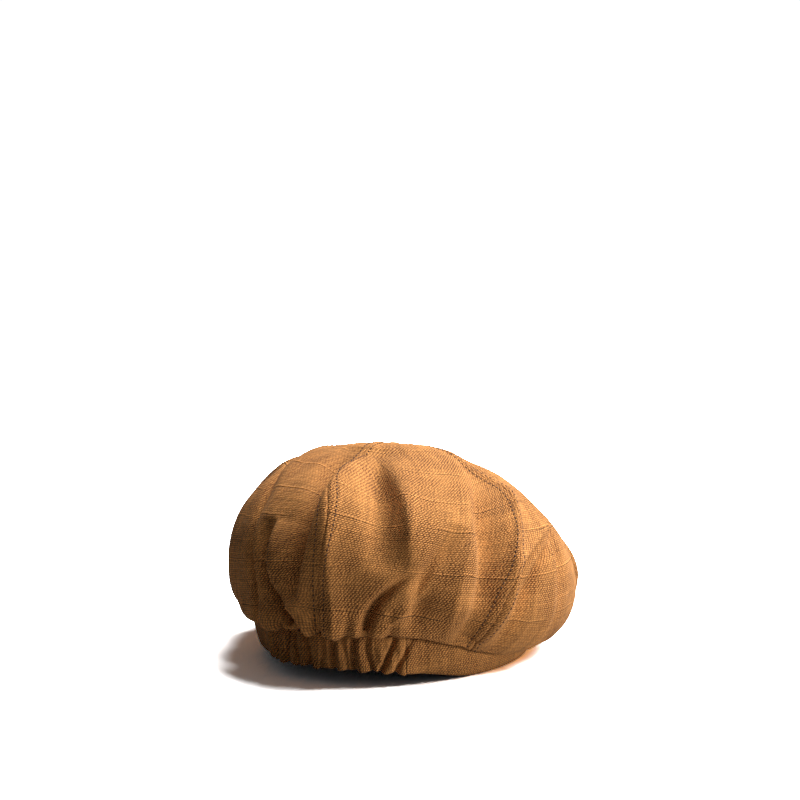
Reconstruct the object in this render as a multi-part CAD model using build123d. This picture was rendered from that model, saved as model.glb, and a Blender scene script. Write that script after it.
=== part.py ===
"""A child's newsboy cap: a full six-panel crown with lining, a headband that is elasticated at the back,
a short stiffened brim and a covered button on the crown's point.

Millimetres. +Z is up and the brim points along -Y. The origin is the centre of the head opening, in the
plane of the band's lower edge, which is the surface that the cap stands on. +X is the wearer's left.
Angles are measured about Z from +X, so the back of the cap is at 90 degrees and the brim at -90.
"""

from build123d import *
from math import cos, exp, hypot, radians, sin, sqrt
import os

# ---- driving dimensions -------------------------------------------------------------------------
HEAD_WIDTH = 142.0            # inside the sweatband, side to side
HEAD_LENGTH = 172.0           # inside the sweatband, front to back: 49.5 cm round
BAND_HEIGHT = 20.0
CROWN_HEIGHT = 116.0          # floor to the crown's point, before its slope and dimple are taken off
CROWN_SLOPE = 0.42            # how steeply the crown's top falls away towards the brim
SLOPE_START_Y = 15.0          # the top is highest just behind this line, and slopes forward of it
SLOPE_BEND = 8.0              # half the length over which the slope begins
SLOPE_BASE_Z = 26.0           # the crown's lowest bulge keeps its height
DIMPLE_DEPTH = 4.0            # the button draws the crown's point down
DIMPLE_RADIUS = 14.0
OVERHANG_BACK = 10.0          # how far the crown stands out past the band at the back
OVERHANG_FRONT = 30.0         # and at the front, where it falls over the brim
BRIM_DEPTH = 44.0             # on the centre line, from the band to the brim's edge
ELASTIC_HALF_ANGLE = 24.0     # the elastic covers this much of the band each side of centre back
BACK_LIFT = 8.0               # the elastic draws the band's lower edge up this far off the floor
BACK_RISE = 6.0               # and its top edge up this far
FRONT_LIFT = 4.0              # the brim holds the band's lower edge up this far at centre front
FRONT_RISE = 6.0              # the band's top edge climbs this far from the sides to centre front

# ---- cloth and inner layers ---------------------------------------------------------------------
SWEATBAND = 0.9
INTERFACING = 0.6
SHELL_CLOTH = 1.2             # the twill of the crown, band and brim
LINING_CLOTH = 0.5
LINING_INSET = 2.2            # crown's outer face to the lining's outer face
ELASTIC = 1.4
GATHERED_CASING = 2.6         # the casing's cloth stands in folds, so it fills more depth
BOARD = 1.4                   # the brim's plastic stiffener
BRIM_CLOTH = 0.9
SLIDE_GAP = 0.3               # between the stretching back of the band and the crown above it
SEAM_GAP = 0.15               # between the crown's edge and the band's, which thread holds together

PANELS = {
    "crown_panel_back_left": 30, "crown_panel_back_right": 90, "crown_panel_side_right": 150,
    "crown_panel_front_right": 210, "crown_panel_front_left": 270, "crown_panel_side_left": 330,
}                             # each panel's first seam, in degrees
PANEL_ANGLE = 60
SECTION_STEP = 10             # degrees between the sections that a panel is lofted through
POINT_HOLE = 3.0              # radius left open under the button, where the six tips meet

# ---- places where the band's edges leave the level ----------------------------------------------
FRONT_BEND_Y = -20.0
BACK_BEND_Y = 46.0
BAND_FRONT_Y = -HEAD_LENGTH / 2 - SWEATBAND - INTERFACING - SHELL_CLOTH
BAND_BACK_Y = HEAD_LENGTH / 2 + SWEATBAND + ELASTIC + GATHERED_CASING


def arc_rise(run, rise, full_run):
    """Height gained after `run` on an arc that starts level and climbs `rise` in `full_run`."""
    if run <= 0:
        return 0.0
    radius = (full_run**2 + rise**2) / (2 * rise)
    return radius - sqrt(radius**2 - run**2)


def band_top(y):
    front = arc_rise(FRONT_BEND_Y - y, FRONT_RISE, FRONT_BEND_Y - BAND_FRONT_Y)
    back = arc_rise(y - BACK_BEND_Y, BACK_RISE, BAND_BACK_Y - BACK_BEND_Y)
    return BAND_HEIGHT + front + back


# ---- layers of the band -------------------------------------------------------------------------
def ring(inner, outer):
    """A tall elliptical wall between two distances outside the head opening."""
    def oval(out):
        return Ellipse(HEAD_WIDTH / 2 + out, HEAD_LENGTH / 2 + out)

    wall = extrude(oval(outer), 60) - extrude(oval(inner), 60)
    return wall


def edge_arc(bend_y, end_y, low, high):
    """One edge of the band's side view: an arc that leaves the level at bend_y."""
    run = abs(end_y - bend_y)
    side = 1 if end_y > bend_y else -1
    mid = bend_y + side * run / 2
    return ThreePointArc(
        (bend_y, low), (mid, low + arc_rise(run / 2, high - low, run)), (end_y, high)
    )


def side_view(top_gap=0.0, bottom_gap=0.0):
    """The band seen from the side, as a block right across the cap."""
    reach = 3.0
    low, high = bottom_gap, BAND_HEIGHT - top_gap
    front, back = BAND_FRONT_Y - reach, BAND_BACK_Y + reach
    front_low = edge_arc(FRONT_BEND_Y, front, low, low + FRONT_LIFT)
    front_high = edge_arc(FRONT_BEND_Y, front, high, band_top(front) - top_gap)
    back_low = edge_arc(BACK_BEND_Y, back, low, low + BACK_LIFT)
    back_high = edge_arc(BACK_BEND_Y, back, high, band_top(back) - top_gap)
    outline = [
        front_low,
        Line((FRONT_BEND_Y, low), (BACK_BEND_Y, low)),
        back_low,
        Line((back, low + BACK_LIFT), (back, band_top(back) - top_gap)),
        back_high,
        Line((BACK_BEND_Y, high), (FRONT_BEND_Y, high)),
        front_high,
        Line((front, band_top(front) - top_gap), (front, low + FRONT_LIFT)),
    ]
    face = make_face(outline)
    return extrude(Plane.YZ * face, HEAD_WIDTH, both=True)


def back_wedge(half_angle):
    reach = 2 * HEAD_LENGTH
    side = reach * sin(radians(half_angle)), reach * cos(radians(half_angle))
    return extrude(make_face(Polyline((0, 0), (-side[0], side[1]), side, (0, 0))), 60)


def band_layer(inner, outer, back=False, top_gap=0.0, bottom_gap=0.0):
    """One layer of the band: the plain part from the front round to the elastic, or the back part."""
    wall = ring(inner, outer) & side_view(top_gap, bottom_gap)
    wedge = back_wedge(ELASTIC_HALF_ANGLE)
    return wall & wedge if back else wall - wedge


def band_parts():
    face_out = SWEATBAND + INTERFACING
    casing_in = SWEATBAND + ELASTIC
    return {
        "sweatband_front": band_layer(0, SWEATBAND, top_gap=1.0, bottom_gap=0.8),
        "band_interfacing": band_layer(SWEATBAND, face_out, top_gap=1.0, bottom_gap=0.6),
        "band_front": band_layer(face_out, face_out + SHELL_CLOTH),
        "sweatband_back": band_layer(0, SWEATBAND, True, 1.0, 0.8),
        "elastic_strap": band_layer(SWEATBAND, casing_in, True, 2.0, 1.5),
        "band_back_casing": band_layer(casing_in, casing_in + GATHERED_CASING, True, SLIDE_GAP),
    }


# ---- crown --------------------------------------------------------------------------------------
DOME_STEPS = (22, 44, 64, 80)         # degrees up the dome, from its widest ring to the point
LINING_BELLY = 4.0            # how far the lining's widest ring stands out past the band
LINING_WIDEST_Z = 50.0


def band_radius(angle):
    """Distance from the Z axis to the band's outer face."""
    out = SWEATBAND + INTERFACING + SHELL_CLOTH
    a, b = HEAD_WIDTH / 2 + out, HEAD_LENGTH / 2 + out
    return 1 / hypot(cos(radians(angle)) / a, sin(radians(angle)) / b)


def between(low, high, t):
    """A smooth step from 0 to 1 as t goes from low to high."""
    t = min(1.0, max(0.0, (t - low) / (high - low)))
    return t * t * (3 - 2 * t)


def settled(x, y, z):
    """The height of a point of the crown or lining once the slack crown has settled forward."""
    share = min(1.0, max(0.0, (z - SLOPE_BASE_Z) / (CROWN_HEIGHT - SLOPE_BASE_Z)))
    run = SLOPE_START_Y - y
    slope = CROWN_SLOPE * (hypot(run, SLOPE_BEND) + run) / 2
    dimple = DIMPLE_DEPTH * exp(-(hypot(x, y) / DIMPLE_RADIUS) ** 2)
    return z - share * slope - dimple


def dome_points(widest_r, widest_z, point_z, fullness):
    """Points up a dome from its widest ring: a super-ellipse, with its exponent as 2 / fullness."""
    rise = point_z - widest_z
    points = [(widest_r, widest_z)]
    for t in DOME_STEPS:
        across, up = cos(radians(t)) ** fullness, sin(radians(t)) ** fullness
        points.append((widest_r * across, widest_z + rise * up))
    points.append((POINT_HOLE, point_z))
    return points


def crown_outline(angle):
    """The crown's outer face at one angle: (radius, height) points from the band to the crown's point."""
    front = (1 - sin(radians(angle))) / 2             # 0 at the back, 1 at the front
    seam_r = band_radius(angle)
    seam_z = band_top(seam_r * sin(radians(angle))) + SEAM_GAP
    overhang = OVERHANG_BACK + (OVERHANG_FRONT - OVERHANG_BACK) * front**1.2
    widest_r = seam_r + overhang
    widest_z = 57 - 33 * front + 6 * between(0.85, 1, front)
    # The cloth falls below the seam towards the front, and stays clear of the brim.
    sag_z = seam_z + 5 - 14 * between(0.25, 0.7, front) + 2.5 * between(0.8, 1, front)
    start = [
        (seam_r, seam_z),
        (seam_r + 0.3, seam_z + 1.4),
        (seam_r + 2.0, seam_z + 3.2),
        (seam_r + 0.55 * overhang, sag_z),
        (seam_r + 0.92 * overhang, sag_z + 0.42 * (widest_z - sag_z)),
    ]
    fullness = 2 / (2.4 - 0.6 * between(0, 0.8, front))
    return start + dome_points(widest_r, widest_z, CROWN_HEIGHT, fullness)


def lining_outline(angle):
    """The lining's outer face: a smaller bag, which hangs straight down to the seam."""
    front = (1 - sin(radians(angle))) / 2
    seam_r, seam_z = crown_outline(angle)[0]
    foot_r = seam_r - LINING_INSET
    start = [(foot_r, seam_z), (foot_r + 1.2, seam_z + 9)]
    top_z = CROWN_HEIGHT - LINING_INSET
    return start + dome_points(seam_r + LINING_BELLY, LINING_WIDEST_Z, top_z, 0.9 + 0.15 * front)


def inset(points, distance):
    """The outline moved inwards, towards the head. Its two ends stay level with the outline's."""
    moved = []
    last = len(points) - 1
    for i, (r, z) in enumerate(points):
        r0, z0 = points[max(0, i - 1)]
        r1, z1 = points[min(last, i + 1)]
        length = hypot(r1 - r0, z1 - z0)
        dr, dz = (r1 - r0) / length, (z1 - z0) / length
        moved.append((r - dz * distance, z + dr * distance))
    moved[0] = (points[0][0] - distance, points[0][1])
    moved[-1] = (points[-1][0], points[-1][1] - distance)
    return moved


def layer_section(outline, angle, thickness):
    """The closed outline of one layer of cloth, in the upright plane at this angle."""
    outer, inner = outline, inset(outline, thickness)
    c, s = cos(radians(angle)), sin(radians(angle))

    def place(point):
        x, y = point[0] * c, point[0] * s
        return Vector(x, y, settled(x, y, point[1]))

    return Wire([
        Edge.make_spline([place(p) for p in outer]),
        Edge.make_line(place(outer[-1]), place(inner[-1])),
        Edge.make_spline([place(p) for p in reversed(inner)]),
        Edge.make_line(place(inner[0]), place(outer[0])),
    ])


def cloth_panel(first_seam, outline_at, thickness):
    """One panel of the crown or of its lining, from one seam to the next."""
    angles = range(first_seam, first_seam + PANEL_ANGLE + 1, SECTION_STEP)
    return Solid.make_loft([layer_section(outline_at(a), a, thickness) for a in angles])


def crown_parts():
    parts = {}
    for name, first_seam in PANELS.items():
        parts[name] = cloth_panel(first_seam, crown_outline, SHELL_CLOTH)
        lining = name.replace("crown_panel", "lining_panel")
        parts[lining] = cloth_panel(first_seam, lining_outline, LINING_CLOTH)
    return parts


# ---- brim ---------------------------------------------------------------------------------------
BRIM_CORNER_ANGLE = -30.0     # the brim's corners, on the band
BRIM_BOW = 700.0              # radius of the brim's bend across the cap
BRIM_DROP = 3.6               # degrees that the brim slopes down towards its edge
BRIM_SEAM_Z = 5.6             # underside of the brim at centre front, on the band
BRIM_HEM = 3.0                # cloth beyond the stiffener, round the brim's edge
BRIM_SEAM_GAP = 0.1


def brim_outline(hem=0.0):
    """The brim from above: a crescent between the band and an elliptical edge."""
    out = SWEATBAND + INTERFACING + SHELL_CLOTH + BRIM_SEAM_GAP
    corner_x = band_radius(BRIM_CORNER_ANGLE) * cos(radians(BRIM_CORNER_ANGLE))
    corner_y = band_radius(BRIM_CORNER_ANGLE) * sin(radians(BRIM_CORNER_ANGLE))
    reach = BRIM_DEPTH - BAND_FRONT_Y + corner_y
    edge = Pos(0, corner_y) * Ellipse(corner_x + 1.0 - hem, reach - hem)
    band = Ellipse(HEAD_WIDTH / 2 + out, HEAD_LENGTH / 2 + out)
    behind = Pos(0, corner_y + HEAD_LENGTH) * Rectangle(2 * HEAD_WIDTH, 2 * HEAD_LENGTH)
    return edge - band - behind


def brim_layer(low, high, outline):
    """The slice of the bowed brim between two heights above its underside."""
    def barrel(height):
        axis = Pos(0, BAND_FRONT_Y, BRIM_SEAM_Z - BRIM_BOW) * Rot(90 + BRIM_DROP, 0, 0)
        return axis * Cylinder(BRIM_BOW + height, 4 * HEAD_LENGTH)

    column = extrude(outline, 60)
    return (column & barrel(high)) - barrel(low)


def brim_parts():
    whole, stiff = brim_outline(), brim_outline(BRIM_HEM)
    board_low, board_high = BRIM_CLOTH, BRIM_CLOTH + BOARD
    top = brim_layer(board_high, board_high + BRIM_CLOTH, whole)
    hem = brim_layer(board_low, board_high, whole - stiff)
    return {
        "brim_under_cover": brim_layer(0, BRIM_CLOTH, whole),
        "brim_board": brim_layer(board_low, board_high, stiff),
        "brim_top_cover": top + hem,
    }


# ---- button -------------------------------------------------------------------------------------
BUTTON_RADIUS = 8.0
BUTTON_HEIGHT = 4.5
BUTTON_BASE_Z = settled(0, 0, CROWN_HEIGHT) + 1.6     # on the dimple's rim, under the button's edge
BUTTON_TILT = 21.5            # degrees forward, square to the crown's slope at its point
BUTTON_METAL = 0.5


def dome(radius, height, base):
    """The cap of a sphere on a flat base, both centred on Z."""
    ball = (radius**2 + height**2) / (2 * height)
    top = base + height
    across = 4 * radius
    return Pos(0, 0, top - ball) * Sphere(ball) & Pos(0, 0, base + across / 2) * Box(across, across, across)


def button_parts():
    """The button, built on the floor about Z and then seated, tilted, on the crown's point."""
    metal_r, metal_h = BUTTON_RADIUS - SHELL_CLOTH, BUTTON_HEIGHT - SHELL_CLOTH
    inner_r, inner_h = metal_r - BUTTON_METAL, metal_h - BUTTON_METAL
    plate = Pos(0, 0, BUTTON_METAL / 2) * Cylinder(inner_r - 0.8, BUTTON_METAL)
    shank_r, shank_wire = 1.6, 0.4
    below = Pos(0, 0, -5) * Box(20, 20, 10)
    shank = Rot(90, 0, 0) * Torus(shank_r, shank_wire) & below
    thread = Pos(0, 0, -4.9) * Cylinder(0.9, 6.6)
    knot = Pos(0, 0, -8.4) * Cylinder(POINT_HOLE, 0.8)
    back = plate + shank
    pieces = {
        "button_cover": dome(BUTTON_RADIUS, BUTTON_HEIGHT, 0) - dome(metal_r, metal_h, 0),
        "button_shell": dome(metal_r, metal_h, 0) - dome(inner_r, inner_h, 0),
        "button_back": back,
        "button_thread": thread + knot - back,
    }
    seat = Pos(0, 0, BUTTON_BASE_Z) * Rot(BUTTON_TILT, 0, 0)
    return {name: seat * shape for name, shape in pieces.items()}


# ---- blank size label, inside the band on the wearer's left ----------------------------------------
LABEL_LENGTH = 24.0
LABEL_HEIGHT = 12.0
LABEL_CLOTH = 0.4


def label_parts():
    a, b = HEAD_WIDTH / 2, HEAD_LENGTH / 2
    hollow = extrude(Ellipse(a, b), 60) - extrude(Ellipse(a - LABEL_CLOTH, b - LABEL_CLOTH), 60)
    patch = Pos(a, 0, BAND_HEIGHT / 2) * Box(10, LABEL_LENGTH, LABEL_HEIGHT)
    return {"size_label": hollow & patch}


# ---- write every piece ----------------------------------------------------------------------------
def main():
    os.makedirs("parts", exist_ok=True)
    pieces = {**crown_parts(), **band_parts(), **brim_parts(), **button_parts(), **label_parts()}
    for name, shape in pieces.items():
        export_step(shape, f"parts/{name}.step")


main()
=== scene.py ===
"""A child's newsboy cap, seen from behind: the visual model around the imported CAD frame.

Cloth is worked out in millimetres, in the frame's own axes, and turned into metres when a mesh is made.
Angles are in degrees about +Z from +X: the centre back is at 90 and the brim at 270.
"""
import math
import bpy
import numpy as np
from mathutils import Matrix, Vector


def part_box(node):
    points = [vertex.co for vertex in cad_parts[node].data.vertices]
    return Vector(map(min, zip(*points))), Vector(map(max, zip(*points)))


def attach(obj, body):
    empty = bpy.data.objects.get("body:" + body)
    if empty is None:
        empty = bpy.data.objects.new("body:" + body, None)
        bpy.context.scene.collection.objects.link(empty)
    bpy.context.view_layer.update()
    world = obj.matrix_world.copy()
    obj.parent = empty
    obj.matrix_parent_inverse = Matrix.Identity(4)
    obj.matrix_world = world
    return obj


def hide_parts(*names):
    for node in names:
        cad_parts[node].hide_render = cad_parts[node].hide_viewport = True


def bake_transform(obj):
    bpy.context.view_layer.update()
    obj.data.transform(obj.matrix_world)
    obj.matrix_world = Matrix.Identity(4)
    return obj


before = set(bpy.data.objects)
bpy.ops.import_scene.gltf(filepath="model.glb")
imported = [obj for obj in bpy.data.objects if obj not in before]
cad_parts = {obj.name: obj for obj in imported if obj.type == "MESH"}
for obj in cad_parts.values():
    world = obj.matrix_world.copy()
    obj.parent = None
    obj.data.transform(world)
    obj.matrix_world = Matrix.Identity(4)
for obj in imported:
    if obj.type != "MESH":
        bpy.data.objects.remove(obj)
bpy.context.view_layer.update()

MM = 0.001
STITCH_OFFSET = 2.6  # from a crown seam to each row of stitches


# ---- sizes read from the frame ----
def box_mm(node):
    low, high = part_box(node)
    return np.array(low) / MM, np.array(high) / MM


band_low_corner, band_high_corner = box_mm("band_front")
BAND_A = band_high_corner[0]  # the band's outer half-width
BAND_B = -band_low_corner[1]  # and its half-length
SLOPE_LOSS = 1.5  # what the forward slope takes off the crown's highest place
TOP_Z = box_mm("crown_panel_back_left")[1][2] + SLOPE_LOSS
BRIM_LOW = box_mm("brim_top_cover")[0]
UNDER_LOW = box_mm("brim_under_cover")[0]
BUTTON_LOW, BUTTON_HIGH = box_mm("button_cover")
LABEL_LOW, LABEL_HIGH = box_mm("size_label")
LINING_OUT = 2.2  # from the band's outer face in to the lining


# ---- smooth tables ----
def smooth(a, b, x):
    t = np.clip((np.asarray(x, float) - a) / (b - a), 0, 1)
    return t * t * (3 - 2 * t)


def curve(x, xs, ys):
    """A smooth line through (xs, ys), level beyond its ends."""
    xs, ys = np.asarray(xs, float), np.asarray(ys, float)
    slope = np.gradient(ys, xs)
    x = np.clip(x, xs[0], xs[-1])
    i = np.clip(np.searchsorted(xs, x) - 1, 0, len(xs) - 2)
    h = xs[i + 1] - xs[i]
    u = (x - xs[i]) / h
    return ((2 * u**3 - 3 * u**2 + 1) * ys[i] + (u**3 - 2 * u**2 + u) * h * slope[i]
            + (3 * u**2 - 2 * u**3) * ys[i + 1] + (u**3 - u**2) * h * slope[i + 1])


def around(deg, rows):
    """The same, round the whole ring: rows are (degrees, value)."""
    rows = sorted((a % 360, v) for a, v in rows)
    a, v = np.array(rows, float).T
    return curve(np.asarray(deg) % 360, np.concatenate([a - 360, a, a + 360]), np.tile(v, 3))


def arc_mm(deg, centre, radius):
    """How far round each angle is from the centre, the short way, in mm on a ring of that radius."""
    return ((deg - centre + 180) % 360 - 180) * np.pi / 180 * radius


def polar(r, t, z):
    return np.stack([r * np.cos(t), r * np.sin(t), z], -1)


def grid(a, b):
    return np.meshgrid(a, b, indexing="ij")


def span(v):
    """The length of each vector."""
    return np.linalg.norm(v, axis=-1)


def unit(v):
    return v / np.maximum(span(v), 1e-9)[..., None]


def arc_lengths(points):
    """The length of a line from its start to each of its points."""
    return np.concatenate([[0], np.cumsum(span(np.diff(points, axis=0)))])


def between(table, i, k, j, u, w):
    """A table's value at a share u from row i to row k and a share w from column j to the next."""
    return ((table[i, j] * (1 - u) + table[k, j] * u) * (1 - w)
            + (table[i, j + 1] * (1 - u) + table[k, j + 1] * u) * w)


def band_r(deg):
    t = np.radians(deg)
    return 1 / np.hypot(np.cos(t) / BAND_A, np.sin(t) / BAND_B)


# ---- the crown's shape: tables round the cap ----
# Rows are (degrees, value). LOW, HIGH: heights of the band's foot and top. SAG: how far above that top the
# crown's lip is. BOTTOM: how far out, as a share of OVER. OVER: how far the crown's widest ring stands out
# past the band. WIDE: that ring's height. POWER: the dome's fullness, 2 for an ellipse.
LOW = [(355, 1.5), (25, 5), (45, 7), (60, 7.8), (75, 8.2), (90, 8.6), (100, 8.2), (110, 7), (123, 4.4),
       (138, .8), (154, 0.1), (175, 0), (204, 0), (235, 1.5), (270, 4), (300, 1.5), (328, .2)]
HIGH = [(355, 20.5), (25, 22), (50, 23), (65, 25), (85, 26.4), (95, 26.4), (107, 26), (117, 25), (130, 22.5),
        (145, 20), (175, 20), (205, 20), (238, 23), (270, 26), (302, 23), (330, 20)]
SAG = [(355, 0), (25, 3), (50, 3), (62, 3), (72, 2.6), (85, 2), (100, 1.2), (107, .6), (114, .8),
       (123, -.2), (133, -3.8), (145, -8.4), (161, -11.4), (175, -11.6), (195, -11), (225, -11), (250, -9),
       (270, -6.5), (290, -9), (315, -10), (335, -6)]
BOTTOM = [(355, .45), (48, .6), (64, .9), (88, 1), (102, .85), (113, .36),
          (124, .26), (150, .22), (170, .35), (200, .5), (270, .5), (330, .5)]
OVER = [(355, 18), (20, 13), (55, 11), (85, 10), (115, 11), (145, 15), (175, 19.8), (200, 23.6), (235, 27),
        (270, 30), (300, 27), (330, 22)]
WIDE = [(355, 43), (20, 45), (55, 54), (85, 58), (115, 54), (145, 45), (175, 38), (200, 35), (235, 30),
        (270, 29), (300, 31), (330, 38)]
POWER = [(355, 2.15), (20, 2.22), (50, 2.2), (90, 2.25), (145, 2.05), (175, 1.88), (200, 1.84), (270, 1.85),
         (330, 1.95)]
DOME_STEPS = (22, 44, 64, 80)  # degrees up the dome
HOLE = 1.0  # radius of the hole at the crown's point
LINING_WIDE = 50.  # height of the lining's widest ring

# the forward slope: mm down for each mm forward, where it begins, how long its bend is, and the height below
# which the crown stays put
SLOPE, SLOPE_START, SLOPE_BEND, SLOPE_BASE = .42, 15, 8, 26
SLOPE_TOWARDS = (.20, -.98)  # the slack settles forward and a little to the wearer's left
DIMPLE_DEPTH, DIMPLE_RADIUS = 4, 14


def settled(P):
    """Points of the crown or lining once the slack crown has settled: lower towards the brim."""
    x, y, z = P[..., 0], P[..., 1], P[..., 2]
    share = np.clip((z - SLOPE_BASE) / (TOP_Z - SLOPE_BASE), 0, 1)
    run = SLOPE_START + SLOPE_TOWARDS[0] * x + SLOPE_TOWARDS[1] * y
    drop = share * SLOPE * (np.hypot(run, SLOPE_BEND) + run) / 2
    dimple = DIMPLE_DEPTH * np.exp(-(x**2 + y**2) / DIMPLE_RADIUS**2)
    return np.stack([x, y, z - drop - dimple], -1)


def domed(points, wide_r, wide_z, top, full):
    """Points (radius, height) up to the widest ring, then the dome's, up to the hole at the crown's point."""
    for step in DOME_STEPS:
        c, s = math.cos(math.radians(step)) ** full, math.sin(math.radians(step)) ** full
        points.append((wide_r * c, wide_z + (top - wide_z) * s))
    points.append((np.full_like(wide_r, HOLE), np.full_like(wide_r, top)))
    return np.stack([np.stack(np.broadcast_arrays(r, z), -1) for r, z in points], 1)


def crown_points(deg):
    r0, z0 = band_r(deg), around(deg, HIGH)
    over, sag = around(deg, OVER), z0 + around(deg, SAG)
    wide_r, wide_z, full = r0 + over, around(deg, WIDE), 2 / around(deg, POWER)
    low_r = r0 + around(deg, BOTTOM) * over
    points = [(r0, z0), (r0 + .4, z0 + 1.2), (r0 + 2.0, np.minimum(z0 + 1.6, .4 * sag + .6 * z0 + 1.9)),
              (low_r, sag), (r0 + .9 * over, sag + .42 * (wide_z - sag)), (wide_r, wide_z)]
    return domed(points, wide_r, wide_z, TOP_Z, full)


def lining_points(deg):
    r0, z0 = band_r(deg) - LINING_OUT, around(deg, HIGH)
    wide_r = r0 + LINING_OUT + 4
    points = [(r0, z0), (r0 + 1.2, z0 + 9), (wide_r, LINING_WIDE)]
    return domed(points, wide_r, LINING_WIDE, TOP_Z - 2.2, .97)


def spline_rows(points, fractions):
    """A natural cubic spline through each row of (radius, height) points, sampled by share of its length."""
    n, k, _ = points.shape
    chord = np.cumsum(span(np.diff(points, axis=1)), axis=1)
    knots = np.concatenate([np.zeros((n, 1)), chord], 1)
    h = np.diff(knots, axis=1)
    left, right = np.zeros((n, k, k)), np.zeros((n, k, 2))
    left[:, 0, 0] = left[:, -1, -1] = 1
    for i in range(1, k - 1):
        left[:, i, i - 1], left[:, i, i + 1] = h[:, i - 1], h[:, i]
        left[:, i, i] = 2 * (h[:, i - 1] + h[:, i])
        after = (points[:, i + 1] - points[:, i]) / h[:, i:i + 1]
        before = (points[:, i] - points[:, i - 1]) / h[:, i - 1:i]
        right[:, i] = 6 * (after - before)
    bend = np.linalg.solve(left, right)
    out, lengths = np.empty((n, len(fractions), 2)), np.empty(n)
    for a in range(n):
        x = np.linspace(0, 1, 500) * knots[a, -1]
        i = np.clip(np.searchsorted(knots[a], x) - 1, 0, k - 2)
        hh, u, w = h[a, i][:, None], (knots[a, i + 1] - x)[:, None], (x - knots[a, i])[:, None]
        y = ((bend[a, i] * u**3 + bend[a, i + 1] * w**3) / (6 * hh)
             + (points[a, i] / hh - bend[a, i] * hh / 6) * u
             + (points[a, i + 1] / hh - bend[a, i + 1] * hh / 6) * w)
        arc = arc_lengths(y)
        lengths[a] = arc[-1]
        for c in (0, 1):
            out[a, :, c] = np.interp(fractions * arc[-1], arc, y[:, c])
    return out, lengths


SHEET_ROWS = 260


class Sheet:
    """A surface of revolution-like cloth, looked up at any angle and any share of the way up."""
    def __init__(self, points):
        self.deg = np.arange(0, 360, 1.0)
        self.s = np.linspace(0, 1, SHEET_ROWS)
        rz, self.length = spline_rows(points(self.deg), self.s)
        t = np.radians(self.deg)[:, None]
        self.P = settled(polar(rz[..., 0], t, rz[..., 1]))
        across = np.roll(self.P, -1, 0) - np.roll(self.P, 1, 0)
        up = np.gradient(self.P, axis=1)
        self.N = unit(np.cross(across, up))
        self.N[:, -3:] = (0, -.37, .93)  # at the point, square to the forward slope

    def look(self, table, deg, s):
        x = np.asarray(deg) % 360
        y = s * (SHEET_ROWS - 1)
        i, j = np.floor(x).astype(int) % 360, np.clip(y.astype(int), 0, SHEET_ROWS - 2)
        u, w = x - np.floor(x), y - j
        if table.ndim == 3:
            u, w = u[..., None], w[..., None]
        return between(table, i, (i + 1) % 360, j, u, w)

    def at(self, deg, s):
        deg, s = np.broadcast_arrays(np.asarray(deg, float), np.asarray(s, float))
        p, n = self.look(self.P, deg, s), self.look(self.N, deg, s)
        x = deg % 360
        i = np.floor(x).astype(int) % 360
        length = self.length[i] * (1 - (x - np.floor(x))) + self.length[(i + 1) % 360] * (x - np.floor(x))
        return p, unit(n), length


CROWN = Sheet(crown_points)
LINING = Sheet(lining_points)

# ---- seams: each leans and twists as the slack cloth does ----
SEAMS = {
    30: ((0, .2, .4, .6, .8, 1), (0, -1, -3, -3, -2, 0)),
    90: ((0, .2, .4, .7, 1), (-1, -1, 1, -4, 0)),
    150: ((0, .15, .3, .5, .65, .8, 1), (-13, -10, -3, 11, 19, 15, 0)),
    210: ((0, .2, .4, .6, .8, 1), (-2, -2, 3, 8, 8, 0)),
    270: ((0, .2, .4, .6, .8, 1), (0, -1, 1, 3, 3, 0)),
    330: ((0, .2, .4, .6, .8, 1), (2, 2, -1, -3, -2, 0)),
}
PANEL_DEG = 60
PANELS = {"back_left": 30, "back_right": 90, "side_right": 150, "front_right": 210, "front_left": 270,
          "side_left": 330}


def seam_at(first, s):
    return first + curve(s, *SEAMS[first % 360])


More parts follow.
